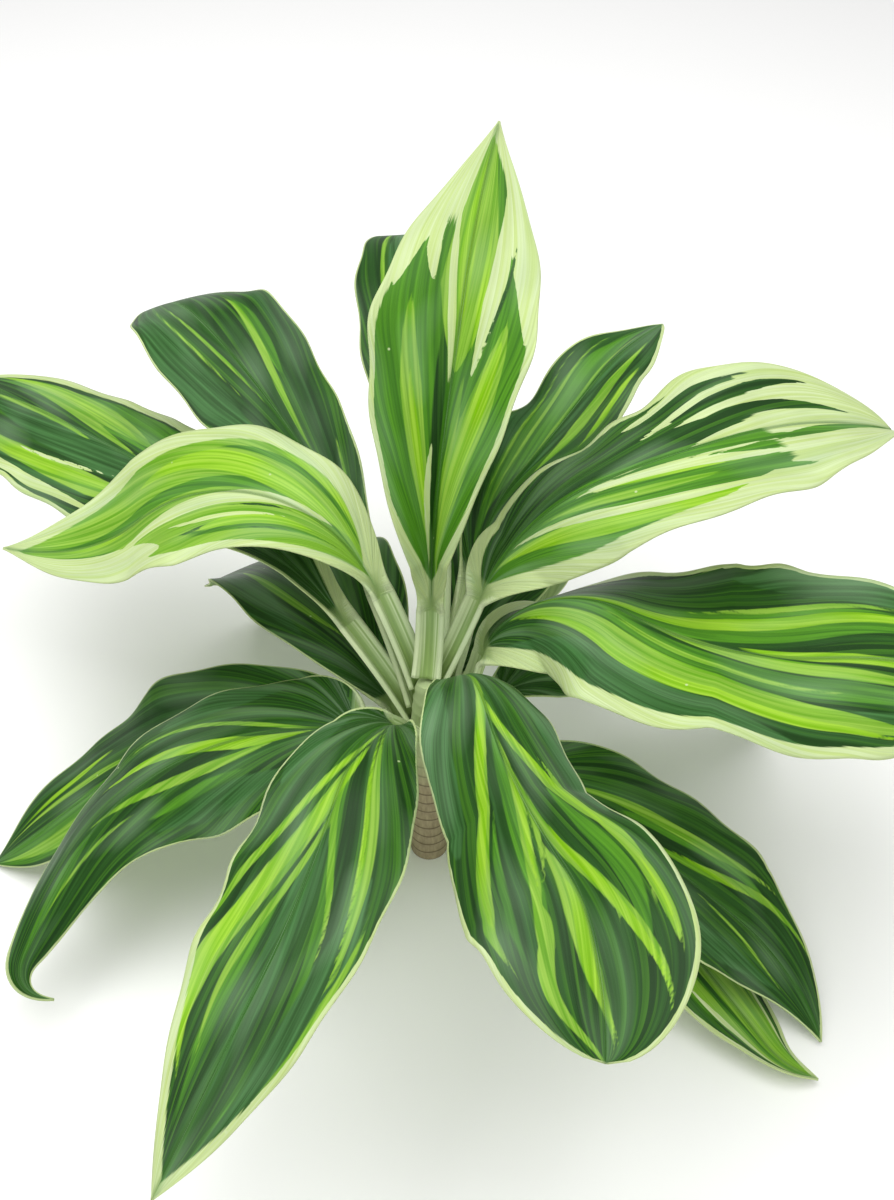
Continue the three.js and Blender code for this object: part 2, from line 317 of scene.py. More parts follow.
# The height of the puckers and of the fine veins, in millimetres.
PUCKER_RELIEF = 1.6
VEIN_RELIEF = 0.25
LEAF_IOR = 1.33
# The grey tones are partly the leaf's own grey-green and partly painted sheen.
UPPER_COLOURS = {
    "dark": "183a10", "deep": "254f18", "mid": "386c18", "mid pale": "508a1e",
    "grey": "264d1d", "grey pale": "3f6e38", "lime": "5f9618", "lime pale": "88b23e",
    "bright": "74aa08", "bright pale": "96c236", "cream": "b2c67c", "cream pale": "bfcf9c",
    "trim": "bccd90", "rib": "3a6e1e", "stalk": "93ae68", "stalk edge": "ccdaac",
    # The next colour is painted sheen.
    "painted sheen": "93b08e",
}
UNDER_COLOURS = {
    "dark": "8aa466", "deep": "98b172", "mid": "9cb878", "mid pale": "a6c080",
    "grey": "9ab58a", "grey pale": "a6bd94", "lime": "b4cc80", "lime pale": "bcd28a",
    "bright": "bdd47e", "bright pale": "c6da8c", "cream": "dbe6b8", "cream pale": "e4ecc8",
    "trim": "d8e0b0", "rib": "a2b676", "stalk": "8ea664", "stalk edge": "b4c492",
    # The next colour is painted sheen.
    "painted sheen": "b8caa0",
}

# Each leaf grows as its solid does, in millimetres and degrees. It springs from the cane at an
# angle and a height. Heading and rise steer its midrib, roll turns it about the midrib, and
# lift and curl raise and cup its halves. Wave gives its edge's swing, the number of waves, and
# where they start on the left and on the right. Full tells how slender its base and tip are,
# and hook the turn that its tip makes and the share of the blade from which it does.
# Margins gives the width of the cream margin on the left and on the right edge at five places,
# and stripes gives each stripe's tone, its width as a share of the half blade, and its way as
# places across and along the blade. A row leaves out what it shares with the usual leaf.
USUAL_LEAF = {
    "pale": False, "full": [0.75, 0.9], "hook": [0, 0.8], "roll": [0, 0, 0],
    "lift": [0, 20, 0, 0], "curl": [50, 0, 0, 0], "wave": [4, 2, 0, 0.3],
    "margins": [[0, 0, 0, 0, 0], [0, 0, 0, 0, 0]],
}
LEAVES = [
    {"name": "leaf_upright", "pale": True, "from": 80, "height": 169, "petiole": 44, "blade": 277,
     "width": 100, "full": [1.19, 1.11], "heading": [85, 77, 78, 68], "rise": [48, 78, 54, 46, 47],
     "lift": [0, 58, 30, -17], "wave": [3, 2, 0, 0.3],
     "margins": [[14, 3, 3.4, 6, 4], [14, 4, 4, 10, 5]],
     "stripes": [
        ("mid", 2, (0, 0), (0, 1)),
        ("lime", 0.26, (0.16, 0.14), (0.34, 0.3), (0.46, 0.44), (0.54, 0.56), (0.6, 0.64)),
        ("dark", 0.14, (0.08, 0.12), (0.16, 0.64)),
        ("bright", 0.12, (0.14, 0.12), (0.3, 0.28), (0.44, 0.42), (0.5, 0.5)),
        ("lime", 0.7, (-0.03, 0.5), (-0.05, 0.66), (0, 0.99)),
        ("bright", 0.2, (-0.02, 0.6), (0.04, 0.76), (0.04, 0.95)),
        ("lime", 0.12, (-0.1, 0.2), (-0.16, 0.5)),
        ("lime", 0.44, (-0.26, 0.06), (-0.4, 0.36), (-0.5, 0.47), (-0.6, 0.6)),
        ("bright", 0.3, (-0.26, 0.08), (-0.38, 0.36), (-0.48, 0.47), (-0.58, 0.57)),
        ("bright", 0.08, (-0.2, 0.55), (-0.3, 0.8)),
        ("cream", 0.4, (0.85, 0.65), (0.85, 1)),
        ("cream", 0.2, (0.38, 0.67), (0.5, 0.73), (0.62, 0.85)),
        ("cream", 0.1, (0.03, 0.46), (0.08, 0.58), (0.2, 0.72), (0.4, 0.88)),
        ("cream", 0.75, (0.66, 0.8), (0.66, 1)),
        ("cream", 0.24, (-0.26, 0.49), (-0.32, 0.57), (-0.5, 0.75), (-0.75, 0.92)),
        ("cream", 0.5, (-0.88, 0.56), (-0.84, 1)),
        ("dark", 0.05, (-0.31, 0.53), (-0.53, 0.66), (-0.72, 0.78)),
        ("cream", 0.12, (0.16, 0.1), (0.2, 0.22), (0.16, 0.36)),
     ]},
    {"name": "leaf_upper_right", "pale": True, "from": 32, "height": 161, "petiole": 62,
     "blade": 298, "width": 116, "full": [0.75, 0.71], "heading": [34, 12, 25, 17],
     "rise": [60, 66, 20, -6, -25], "roll": [1, -3, 4], "lift": [0, -21, -4, 22],
     "wave": [6.36, 1.7, 0.09, 0.49], "margins": [[10, 5, 5, 8, 6], [14, 11, 13, 14, 8]],
     "stripes": [
        ("cream", 2, (0, 0.68), (0, 1)),
        ("cream", 0.16, (0.7, 0.42), (0.8, 0.55), (0.88, 0.7)),
        ("cream", 0.13, (0.4, 0.44), (0.56, 0.56), (0.75, 0.72)),
        ("cream", 0.13, (0.38, 0.52), (0.44, 0.66), (0.5, 0.82)),
        ("cream", 0.16, (0.02, 0.52), (0.12, 0.72), (0.1, 0.95)),
        ("cream", 0.1, (-0.08, 0.28), (-0.06, 0.42), (-0.12, 0.56), (-0.2, 0.74)),
        ("cream", 0.12, (-0.13, 0.3), (-0.15, 0.46), (-0.27, 0.57), (-0.45, 0.72)),
        ("cream", 0.12, (-0.05, 0.12), (-0.3, 0.26), (-0.48, 0.36), (-0.6, 0.48), (-0.72, 0.64)),
        ("cream", 0.5, (-0.85, 0.5), (-0.75, 1)),
        ("dark", 0.11, (0.6, 0.4), (0.72, 0.55), (0.84, 0.72)),
        ("dark", 0.13, (0.45, 0.5), (0.59, 0.66), (0.78, 0.84)),
        ("dark", 0.16, (0.24, 0.5), (0.34, 0.72), (0.26, 0.9)),
        ("dark", 0.1, (-0.05, 0.36), (-0.07, 0.54), (-0.12, 0.64), (-0.24, 0.8)),
        ("dark", 0.14, (-0.16, 0.26), (-0.35, 0.42), (-0.5, 0.56), (-0.78, 0.74)),
        ("dark", 0.2, (-0.2, 0.68), (-0.15, 0.86), (-0.05, 0.99)),
        ("mid", 0.95, (-0.42, 0.02), (-0.42, 0.97)),
        ("lime", 0.1, (-0.1, 0.2), (-0.3, 0.38), (-0.45, 0.56)),
        ("bright", 0.26, (0, 0.06), (-0.34, 0.19), (-0.56, 0.33), (-0.7, 0.46), (-0.8, 0.62)),
        ("bright", 0.06, (-0.05, 0.28), (-0.2, 0.44), (-0.36, 0.6)),
     ]},
    {"name": "leaf_upper_left", "pale": True, "from": 128, "height": 158, "petiole": 60,
     "blade": 275, "width": 115, "full": [1.17, 1.1], "heading": [134, 161, 184, 180],
     "rise": [58, 53, 2, -42, 17], "roll": [0, -5, 0], "lift": [0, 12, 4, 9],
     "wave": [4, 1.05, 0.28, 0.43], "margins": [[10, 6, 7, 9, 6], [13, 12, 13, 12, 7]],
     "stripes": [
        ("mid", 2, (0, 0), (0, 1)),
        ("lime", 1.3, (-0.34, 0.02), (-0.34, 0.95)),
        ("lime", 0.9, (0.5, 0.04), (0.5, 0.74)),
        ("dark", 0.16, (-0.06, 0.1), (-0.14, 0.36), (-0.1, 0.66), (-0.02, 0.92)),
        ("dark", 0.1, (-0.3, 0.08), (-0.56, 0.3), (-0.66, 0.5)),
        ("dark", 0.1, (0.26, 0.12), (0.56, 0.3), (0.66, 0.5)),
        ("mid", 0.3, (-0.06, 0.08), (-0.14, 0.36), (-0.1, 0.66), (-0.02, 0.94)),
        ("mid", 0.2, (-0.3, 0.06), (-0.56, 0.3), (-0.66, 0.54)),
        ("mid", 0.2, (0.26, 0.1), (0.56, 0.3), (0.66, 0.54)),
        ("dark", 0.06, (0.44, 0.34), (0.56, 0.44), (0.62, 0.52)),
        ("dark", 0.05, (0.5, 0.22), (0.66, 0.36)),
        ("dark", 0.05, (0.1, 0.26), (0.24, 0.4)),
        ("bright", 0.3, (-0.24, 0.12), (-0.36, 0.39), (-0.5, 0.52), (-0.42, 0.66)),
        ("bright", 0.12, (-0.5, 0.12), (-0.72, 0.36)),
        ("bright", 0.2, (0.3, 0.2), (0.5, 0.38), (0.6, 0.46)),
        ("bright", 0.1, (0.06, 0.7), (0.12, 0.86)),
        ("cream", 0.22, (-0.1, 0.17), (0.07, 0.36), (0.14, 0.5), (0.36, 0.64), (0.5, 0.75)),
        ("cream", 0.6, (0.7, 0.56), (0.6, 1)),
        ("cream", 0.3, (-0.85, 0.6), (-0.8, 1)),
        ("cream", 0.2, (0.92, 0.2), (0.92, 1)),
        ("cream", 0.07, (0.26, 0.26), (0.4, 0.4), (0.46, 0.56)),
     ]},
    {"name": "leaf_far_left", "from": 144, "height": 127, "petiole": 70, "blade": 385,
     "width": 122, "full": [1.1, 0.7], "heading": [137, 143, 140, 137],
     "rise": [54, 32, 1, -6, -14], "lift": [0, 30, -15, -10],
     "margins": [[3, 3, 3, 3, 3], [6, 9, 10, 9, 6]],
     "stripes": [
        ("mid", 0.6, (-0.5, 0.2), (-0.5, 0.95)),
        ("grey", 0.4, (0.1, 0.3), (0.16, 0.6), (0.2, 0.9)),
        ("lime", 0.34, (-0.3, 0.5), (-0.45, 0.67), (-0.6, 0.86), (-0.7, 0.96)),
        ("bright", 0.16, (-0.3, 0.54), (-0.45, 0.67), (-0.62, 0.86), (-0.7, 0.95)),
        ("lime", 0.12, (-0.05, 0.5), (-0.25, 0.7), (-0.45, 0.88)),
        ("lime", 0.08, (0.06, 0.6), (0.02, 0.8), (0.1, 0.92)),
        ("lime", 0.3, (0.4, 0.36), (0.56, 0.56), (0.66, 0.74), (0.72, 0.92)),
        ("bright", 0.14, (0.35, 0.4), (0.52, 0.56), (0.62, 0.74), (0.7, 0.9)),
        ("cream", 0.05, (0.3, 0.5), (0.45, 0.62), (0.55, 0.74)),
        ("lime", 0.05, (0.05, 0.2), (0, 0.5)),
        ("cream", 0.14, (0.78, 0.46), (0.84, 0.7), (0.8, 0.92)),
        ("dark", 0.08, (0.66, 0.5), (0.74, 0.66), (0.74, 0.84)),
        ("grey", 0.1, (0.66, 0.5), (0.74, 0.66), (0.74, 0.84)),
     ]},
    {"name": "leaf_back_left", "from": 118, "height": 137, "petiole": 72, "blade": 316,
     "width": 94, "full": [1.2, 0.7], "heading": [116, 127, 128, 110],
     "rise": [52, 28, 26, 9, -45], "roll": [-10, -10, 0], "lift": [0, 20, 5, 0],
     "wave": [6, 2.6, 0.4, 0.55], "margins": [[1, 1, 1, 1, 2], [1, 1, 1, 1, 2]],
     "stripes": [
        ("grey", 0.5, (0.6, 0.3), (0.7, 0.6), (0.7, 0.9)),
        ("lime", 0.1, (-0.12, 0.3), (-0.2, 0.43), (-0.38, 0.58), (-0.6, 0.8)),
        ("lime", 0.05, (0.06, 0.45), (0.16, 0.62), (0.3, 0.85)),
        ("mid", 0.16, (0.86, 0.56), (0.84, 0.7)),
        ("lime", 0.05, (-0.5, 0.2), (-0.66, 0.32)),
        ("mid", 0.2, (-0.4, 0.5), (-0.6, 0.75)),
        ("lime", 0.04, (0.3, 0.5), (0.5, 0.85)),
        ("dark", 0.2, (-0.8, 0.3), (-0.85, 0.8)),
     ]},
    {"name": "leaf_back", "from": 80, "height": 146, "petiole": 80, "blade": 308, "width": 96,
     "full": [1, 0.8], "heading": [91, 92, 91, 90], "rise": [46, 44, 36, 6, -60],
     "lift": [0, 20, 5, 0],
     "stripes": [
        ("lime", 0.1, (0.1, 0.3), (0.3, 0.9)),
        ("grey", 0.4, (-0.4, 0.2), (-0.5, 0.9)),
        ("lime", 0.06, (0.6, 0.5), (0.75, 0.85)),
        ("grey", 0.3, (0.4, 0.4), (0.5, 0.9)),
     ]},
    {"name": "leaf_back_right", "from": 56, "height": 131, "petiole": 80, "blade": 238,
     "width": 65, "full": [1, 0.8], "heading": [78, 50, 54, 42], "rise": [57, 39, 17, 16, -4],
     "wave": [6, 2.8, 0.1, 0.35], "margins": [[1, 1, 1, 1, 2], [1, 2, 2, 3, 2]],
     "stripes": [
        ("mid", 0.6, (0.3, 0.1), (0.3, 0.95)),
        ("lime", 0.07, (0.2, 0.2), (0.4, 0.5), (0.7, 0.85)),
        ("lime", 0.05, (0.4, 0.2), (0.62, 0.5), (0.86, 0.75)),
        ("grey", 0.3, (0.7, 0.2), (0.8, 0.6)),
        ("lime", 0.05, (0, 0.3), (0.1, 0.9)),
        ("lime", 0.2, (-0.3, 0.35), (-0.34, 0.6), (-0.4, 0.9)),
        ("bright", 0.12, (-0.6, 0.5), (-0.7, 0.8)),
        ("grey", 0.1, (-0.14, 0.3), (-0.1, 0.9)),
     ]},
    {"name": "leaf_right", "from": 15, "height": 120, "petiole": 65, "blade": 329, "width": 135,
     "full": [0.68, 0.62], "heading": [10, -28, -3, -15], "rise": [61, 80, -13, 7, -18],
     "roll": [0, -2, 24], "lift": [0, -42, 1, -22], "wave": [7, 0.9, 2.7, 1.74],
     "margins": [[9, 8, 3.5, 2.5, 3], [14, 13, 10, 7, 5]],
     "stripes": [
        ("cream", 0.44, (0.62, 0.01), (0.72, 0.08), (0.8, 0.18), (0.95, 0.34)),
        ("mid", 0.34, (0, 0.1), (0.2, 0.45), (0.44, 0.73), (0.6, 0.98)),
        ("bright", 0.13, (-0.02, 0.16), (0.2, 0.44), (0.4, 0.61), (0.48, 0.73), (0.62, 0.98)),
        ("grey", 0.4, (0.8, 0.5), (0.88, 0.75), (0.85, 0.98)),
        ("lime", 0.06, (0.3, 0.4), (0.52, 0.6), (0.7, 0.85)),
        ("grey", 0.5, (-0.5, 0.06), (-0.68, 0.26), (-0.8, 0.5), (-0.9, 0.62)),
        ("lime", 0.24, (-0.06, 0.1), (-0.28, 0.32), (-0.4, 0.48), (-0.55, 0.62), (-0.84, 0.86)),
        ("bright", 0.12, (-0.12, 0.12), (-0.4, 0.34), (-0.52, 0.48), (-0.64, 0.62), (-0.84, 0.8)),
        ("mid", 0.2, (-0.05, 0.2), (-0.2, 0.5), (-0.4, 0.8), (-0.55, 0.98)),
        ("lime", 0.12, (0, 0.36), (-0.06, 0.56), (-0.14, 0.68), (-0.34, 0.92)),
        ("lime", 0.05, (-0.06, 0.28), (-0.2, 0.48), (-0.36, 0.7)),
        ("bright", 0.1, (0.04, 0.52), (0, 0.7), (-0.12, 0.94)),
        ("grey", 0.24, (-0.6, 0.6), (-0.75, 0.95)),
     ]},
    {"name": "leaf_low_back_left", "from": 135, "height": 96, "petiole": 30, "blade": 305,
     "width": 118, "heading": [124, 121, 116, 112], "rise": [50, 36, -6, -52, -82],
     "wave": [6, 2.4, 0.2, 0.6],
     "stripes": [
        ("lime", 0.12, (0.12, 0.16), (0.34, 0.25), (0.46, 0.35), (0.6, 0.5)),
        ("lime", 0.12, (-0.08, 0.1), (-0.08, 0.2), (-0.1, 0.34)),
        ("lime", 0.1, (0.1, 0.4), (0.3, 0.8)),
        ("grey", 0.3, (0.7, 0.2), (0.7, 0.6)),
     ]},
    {"name": "leaf_mid_back_right", "from": 66, "height": 113, "petiole": 32, "blade": 308,
     "width": 96, "heading": [62, 74, 72, 60], "rise": [52, 42, -12, -64, -88],
     "stripes": [
        ("lime", 0.1, (0.1, 0.15), (0.3, 0.4), (0.5, 0.8)),
        ("grey", 0.3, (-0.4, 0.2), (-0.5, 0.7)),
        ("lime", 0.06, (-0.1, 0.2), (-0.2, 0.6)),
     ]},
    {"name": "leaf_low_left", "from": 172, "height": 105, "petiole": 30, "blade": 290,
     "width": 100, "heading": [168, 184, 194, 192], "rise": [34, 12, -22, -38, -36],
     "wave": [6, 2.4, 0.6, 0.2],
     "stripes": [
        ("mid", 0.9, (0.4, 0.4), (0.4, 0.97)),
        ("lime", 0.34, (0.5, 0.6), (0.55, 0.97)),
        ("lime", 0.1, (0.1, 0.5), (0.3, 0.7), (0.5, 0.95)),
        ("lime", 0.1, (-0.1, 0.5), (-0.3, 0.7), (-0.5, 0.95)),
        ("lime", 0.16, (0.6, 0.55), (0.6, 0.95)),
        ("bright", 0.1, (-0.5, 0.6), (-0.6, 0.9)),
     ]},
    {"name": "leaf_curled_left", "from": 195, "height": 121, "petiole": 30, "blade": 301,
     "width": 103, "full": [0.45, 1.31], "hook": [120, 0.86], "heading": [181, 197, 230, 254],
     "rise": [24, 12, -14, -37, -31], "lift": [0, 8, -24, -5], "curl": [50, -20, -10, 0],
     "wave": [7.52, 1.91, 2.11, -0.53], "margins": [[1, 1, 1, 1, 1], [1, 1, 1, 1, 1]],
     "stripes": [
        ("lime", 0.07, (-0.02, 0.06), (-0.12, 0.19), (-0.31, 0.27), (-0.56, 0.36), (-0.8, 0.48)),
        ("bright", 0.18, (0.04, 0.1), (0.06, 0.24), (-0.06, 0.32), (-0.3, 0.42), (-0.6, 0.54)),
        ("lime", 0.12, (0.12, 0.16), (0.22, 0.26), (0.24, 0.36), (0.1, 0.5), (-0.1, 0.6)),
        ("grey", 0.4, (-0.75, 0.15), (-0.8, 0.4)),
        ("mid", 0.14, (0.4, 0.25), (0.5, 0.5)),
        ("grey", 0.3, (0.6, 0.15), (0.7, 0.5)),
        ("mid", 0.3, (0, 0.6), (0, 0.9)),
        ("lime", 0.06, (0.3, 0.5), (0.1, 0.8)),
     ]},
    {"name": "leaf_front_left", "from": 230, "height": 127, "petiole": 33, "blade": 305,
     "width": 93, "full": [0.8, 0.96], "heading": [243, 256, 245, 247],
     "rise": [62, 54, -10, -15, -13], "roll": [0, 8, -2], "lift": [0, 1, -2, -2],
     "curl": [50, -20, -10, 0], "wave": [5.94, 1.67, 0.22, 1.16],
     "margins": [[1.2, 1.2, 1.4, 3.6, 5], [1.2, 1.2, 1.8, 4.6, 6]],
     "stripes": [
        # The grey stripe at the right margin and the one at the left shoulder are painted sheen.
        ("grey", 0.5, (0.66, 0.44), (0.76, 0.6), (0.66, 0.9)),
        ("dark", 0.3, (0.8, 0.1), (0.86, 0.3), (0.9, 0.44)),
        ("grey", 0.34, (-0.75, 0.1), (-0.8, 0.3)),
        ("mid", 0.2, (-0.2, 0.5), (-0.36, 0.66), (-0.4, 0.9)),
        ("lime", 0.12, (0.14, 0.1), (-0.16, 0.27), (-0.34, 0.33), (-0.56, 0.39), (-0.78, 0.48),
         (-0.95, 0.62)),
        ("bright", 0.06, (0.1, 0.12), (-0.2, 0.28), (-0.36, 0.34), (-0.58, 0.4), (-0.76, 0.48)),
        ("lime", 0.3, (0.12, 0.18), (-0.03, 0.33), (-0.3, 0.42), (-0.55, 0.51), (-0.7, 0.63),
         (-0.66, 0.97)),
        ("bright", 0.2, (0.12, 0.2), (-0.04, 0.33), (-0.32, 0.42), (-0.56, 0.51), (-0.72, 0.62),
         (-0.66, 0.84)),
        ("lime", 0.09, (0.04, 0.3), (-0.09, 0.44), (-0.28, 0.53), (-0.41, 0.62), (-0.42, 0.8)),
        ("grey", 0.3, (0.04, 0.3), (0.02, 0.5), (0.06, 0.85)),
        ("mid", 0.12, (0.1, 0.2), (0.19, 0.43), (0.38, 0.56), (0.5, 0.9)),
        ("lime", 0.08, (0.12, 0.24), (0.19, 0.43), (0.34, 0.5), (0.5, 0.6)),
        ("lime", 0.11, (0.2, 0.1), (0.48, 0.31), (0.6, 0.43), (0.72, 0.54), (0.84, 0.66)),
        ("bright", 0.06, (0.18, 0.12), (0.41, 0.32), (0.5, 0.42), (0.62, 0.5), (0.78, 0.62)),
        ("dark", 0.1, (0.3, 0.16), (0.62, 0.33), (0.72, 0.43), (0.95, 0.58)),
        ("lime", 0.08, (0.84, 0.5), (0.9, 0.66), (0.84, 0.82)),
        ("dark", 0.2, (0.2, 0.62), (0.3, 0.78), (0.2, 0.92)),
     ]},
    {"name": "leaf_front_right", "from": 308, "height": 129, "petiole": 62, "blade": 274,
     "width": 113, "full": [1, 0.56], "hook": [20, 0.75], "heading": [288, 281, 303, 244],
     "rise": [58, 82, 2, -15, -31], "roll": [-3, 7, -2], "lift": [0, -3, -39, 16],
     "curl": [50, -20, -10, 0], "wave": [7.11, 0.8, -0.44, 2.03],
     "margins": [[1, 1, 1.6, 2.4, 3], [1, 1, 1.5, 3, 4.4]],
     "stripes": [
        # The next two grey stripes are painted sheen.
        ("grey", 0.5, (-0.72, 0.16), (-0.8, 0.34), (-0.85, 0.55)),
        ("grey", 0.34, (0.72, 0.2), (0.86, 0.4), (0.9, 0.6)),
        ("mid", 0.2, (0.36, 0.5), (0.5, 0.68), (0.5, 0.84)),
        ("lime", 0.16, (-0.02, 0.14), (-0.12, 0.36), (-0.44, 0.49), (-0.69, 0.64), (-0.8, 0.84)),
        ("bright", 0.1, (-0.02, 0.16), (-0.12, 0.36), (-0.44, 0.49), (-0.69, 0.64), (-0.78, 0.76)),
        ("mid", 0.14, (0, 0.36), (-0.2, 0.58), (-0.4, 0.8)),
        ("lime", 0.1, (0, 0.38), (-0.06, 0.53), (-0.19, 0.62), (-0.34, 0.7), (-0.5, 0.84)),
        ("bright", 0.05, (0, 0.42), (-0.05, 0.53), (-0.18, 0.62), (-0.3, 0.69)),
        ("lime", 0.05, (0.02, 0.44), (0, 0.56), (-0.12, 0.64), (-0.22, 0.68)),
        ("lime", 0.07, (0.03, 0.5), (0.04, 0.58), (0.08, 0.64), (0.2, 0.71), (0.27, 0.77)),
        ("lime", 0.16, (-0.02, 0.24), (0, 0.36), (0.19, 0.4), (0.47, 0.47), (0.6, 0.56),
         (0.67, 0.68), (0.67, 0.76)),
        ("bright", 0.1, (0, 0.3), (0.19, 0.4), (0.46, 0.47), (0.59, 0.55), (0.65, 0.64)),
        ("lime", 0.15, (0.07, 0.52), (0.11, 0.65), (0.28, 0.74), (0.46, 0.81), (0.74, 0.88),
         (0.86, 0.93)),
        ("bright", 0.1, (0.09, 0.58), (0.28, 0.74), (0.44, 0.81), (0.72, 0.88), (0.81, 0.91)),
        ("lime", 0.1, (0.42, 0.42), (0.66, 0.58), (0.68, 0.68), (0.66, 0.75)),
        ("lime", 0.12, (0.7, 0.66), (0.75, 0.77), (0.84, 0.84)),
        ("bright", 0.05, (0.72, 0.7), (0.75, 0.77), (0.81, 0.82)),
        ("lime", 0.18, (-0.06, 0.62), (-0.09, 0.76), (-0.04, 0.88), (0.2, 0.98)),
        ("bright", 0.12, (-0.07, 0.68), (-0.09, 0.81), (0, 0.91), (0.25, 0.97)),
        ("lime", 0.16, (-0.36, 0.7), (-0.5, 0.84), (-0.48, 0.94), (-0.14, 1)),
        ("mid", 0.08, (-0.3, 0.5), (-0.56, 0.66), (-0.66, 0.86)),
     ]},
    {"name": "leaf_lower_right", "from": 338, "height": 103, "petiole": 34, "blade": 266,
     "width": 100, "full": [0.75, 1.05], "heading": [334, 336, 331, 290],
     "rise": [40, -3, -26, -29, -33], "lift": [0, 20, 13, -5], "curl": [50, -20, -10, 0],
     "wave": [5, 2, 0, 0.3], "margins": [[1, 1, 1, 1.5, 2], [1, 1, 1, 1, 1]],
     "stripes": [
        ("grey", 0.4, (-0.6, 0.3), (-0.65, 0.6), (-0.6, 0.85)),
        ("mid", 0.2, (0.2, 0.3), (0.45, 0.5), (0.6, 0.7)),
        ("lime", 0.13, (0.12, 0.15), (0.25, 0.23), (0.38, 0.38), (0.5, 0.48), (0.56, 0.59),
         (0.75, 0.67), (0.88, 0.72)),
        ("lime", 0.13, (0.1, 0.4), (0.22, 0.52), (0.44, 0.67), (0.78, 0.76), (1, 0.87)),
        ("bright", 0.05, (0.14, 0.44), (0.22, 0.52), (0.4, 0.65), (0.6, 0.71)),
        ("lime", 0.05, (-0.1, 0.55), (-0.25, 0.7), (-0.5, 0.85)),
        ("dark", 0.12, (0.81, 0.36), (0.97, 0.52), (0.97, 0.66)),
     ]},
    {"name": "leaf_lowest_right", "from": 322, "height": 88, "petiole": 30, "blade": 266,
     "width": 82, "hook": [40, 0.84], "heading": [335, 332, 312, 298],
     "rise": [30, -6, -33, -22, -2], "roll": [0, -20, -20], "lift": [0, -5, 0, 10],
     "curl": [50, -20, -10, 0], "wave": [5, 2, 0, 0.3],
     "margins": [[1, 1, 2, 4, 3], [1, 1, 1.5, 3, 3]],
     "stripes": [
        ("mid", 1.4, (0, 0.3), (0, 1)),
        ("lime", 0.8, (0.2, 0.5), (0.2, 1)),
        ("lime", 0.3, (-0.5, 0.5), (-0.5, 0.95)),
        ("dark", 0.1, (-0.24, 0.5), (-0.24, 0.9)),
        ("cream", 0.12, (-0.6, 0.66), (-0.6, 0.96)),
        ("bright", 0.2, (0.1, 0.44), (0.2, 0.86)),
        ("dark", 0.08, (0.5, 0.5), (0.5, 0.8)),
        ("cream", 0.08, (0.62, 0.7), (0.68, 0.92)),
     ]},
    {"name": "leaf_low_right", "from": 28, "height": 96, "petiole": 46, "blade": 290, "width": 84,
     "heading": [28, 22, 18, 16], "rise": [52, 32, -14, -56, -70], "lift": [0, -5, 0, 10],
     "curl": [50, -20, -10, 0], "wave": [5, 2, 0, 0.3],
     "stripes": [
        ("cream", 0.1, (0.4, 0.2), (0.6, 0.8)),
        ("lime", 0.1, (-0.2, 0.2), (-0.4, 0.8)),
        ("lime", 0.1, (0.1, 0.3), (0.2, 0.8)),
     ]},
]


def ease(value, low, high):
    """From 0 at low to 1 at high, without a kink at either."""
    share = np.clip((value - low) / (high - low), 0, 1)
    return share * share * (3 - 2 * share)


def turn_about(angle, first, second):
    """First and second turned by an angle in the plane that they span."""
    cosine = np.cos(angle)[:, None]
    sine = np.sin(angle)[:, None]
    return first * cosine + second * sine, second * cosine - first * sine


def midrib_direction(leaf, length):
    """Which way the midrib runs at each length, and its heading."""
    marks = [0, *(leaf["petiole"] + leaf["blade"] * share for share in BEND_SHARES)]
    share = (length - leaf["petiole"]) / leaf["blade"]
    hook_turn, hook_from = leaf["hook"]
    turn = hook_turn * ease(share, hook_from, 1)
    heading = np.radians(np.interp(length, marks, [leaf["from"], *leaf["heading"]]) + turn)
    rise = np.radians(np.interp(length, marks, leaf["rise"]))
    tangent = np.stack([np.cos(rise) * np.cos(heading), np.cos(rise) * np.sin(heading),
                        np.sin(rise)], axis=-1)
    return tangent, heading


def grow_midrib(leaf, lengths):
    """The midrib's points, grown in small steps from the cane's bark or from its top."""
    total = leaf["petiole"] + leaf["blade"]
    step = total / GROWTH_STEPS
    tangents, _ = midrib_direction(leaf, (np.arange(GROWTH_STEPS) + 0.5) * step)
    start = math.radians(leaf["from"])
    reach = 0 if leaf["height"] > CANE_HEIGHT else cane_radius(leaf["height"]) + SEAT_GAP
    points = np.zeros((GROWTH_STEPS + 1, 3))
    points[0] = (reach * math.cos(start), reach * math.sin(start), leaf["height"])
    points[1:] = points[0] + np.cumsum(tangents * step, axis=0)
    grown = np.linspace(0, total, GROWTH_STEPS + 1)
    return np.stack([np.interp(lengths, grown, points[:, k]) for k in range(3)], axis=-1)


def half_width(leaf, length, share):
    """Half the leaf's width, which is the petiole's and the blade's run together."""
    rising, falling = leaf["full"]
    both = rising + falling
    peak = (rising / both) ** rising * (falling / both) ** falling
    blade = leaf["width"] / 2 * share ** rising * (1 - share) ** falling / peak
    flare = 1 + PETIOLE_FLARE * np.exp(-length / FLARE_LENGTH)
    stalk = PETIOLE_HALF_WIDTH * flare * np.sqrt(np.clip((1 - share) / RIB_FADE, 0, 1))
    return np.maximum(np.hypot(blade, stalk), TIP_HALF_WIDTH)


